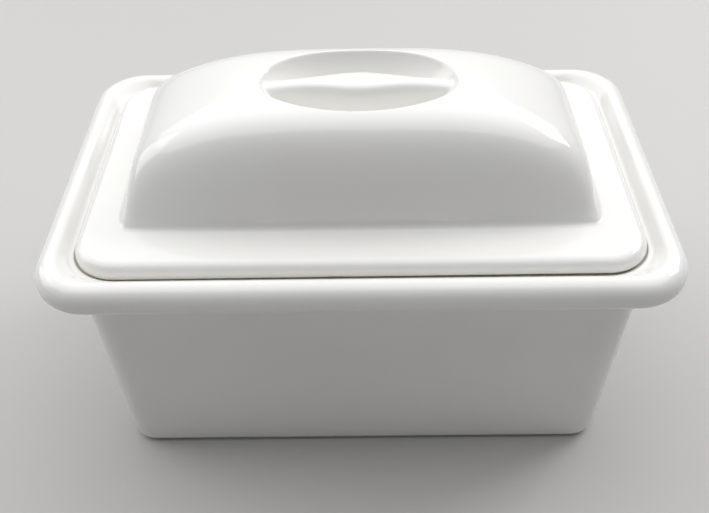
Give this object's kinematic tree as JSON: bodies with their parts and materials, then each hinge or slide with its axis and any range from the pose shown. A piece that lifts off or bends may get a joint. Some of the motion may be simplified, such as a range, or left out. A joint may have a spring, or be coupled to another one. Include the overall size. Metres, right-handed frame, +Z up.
{
  "type": "butter crock",
  "caption": "Rectangular glazed porcelain crock with a thick rolled rim, and a domed lift-off lid whose crown has an oval finger recess with a grip bar.",
  "frame": {"origin": "middle of the foot, on the plane the crock stands on", "axes": "+Z up; +X along the length of the crock; +Y across it, from one long side to the other"},
  "size_m": [0.2, 0.129, 0.122],
  "materials": {
    "crock_glaze": "glossy white glaze on porcelain, bare at the foot ring",
    "lid_glaze": "glossy white glaze on porcelain, bare under the flange"
  },
  "bodies": {
    "crock": {"crock": "crock_glaze"},
    "lid": {"lid": "lid_glaze"}
  },
  "joints": [
    {"name": "lid_lift", "type": "slide", "parent": "crock", "child": "lid", "axis": [0, 0, 1], "range_m": [0, 0.12]}
  ]
}
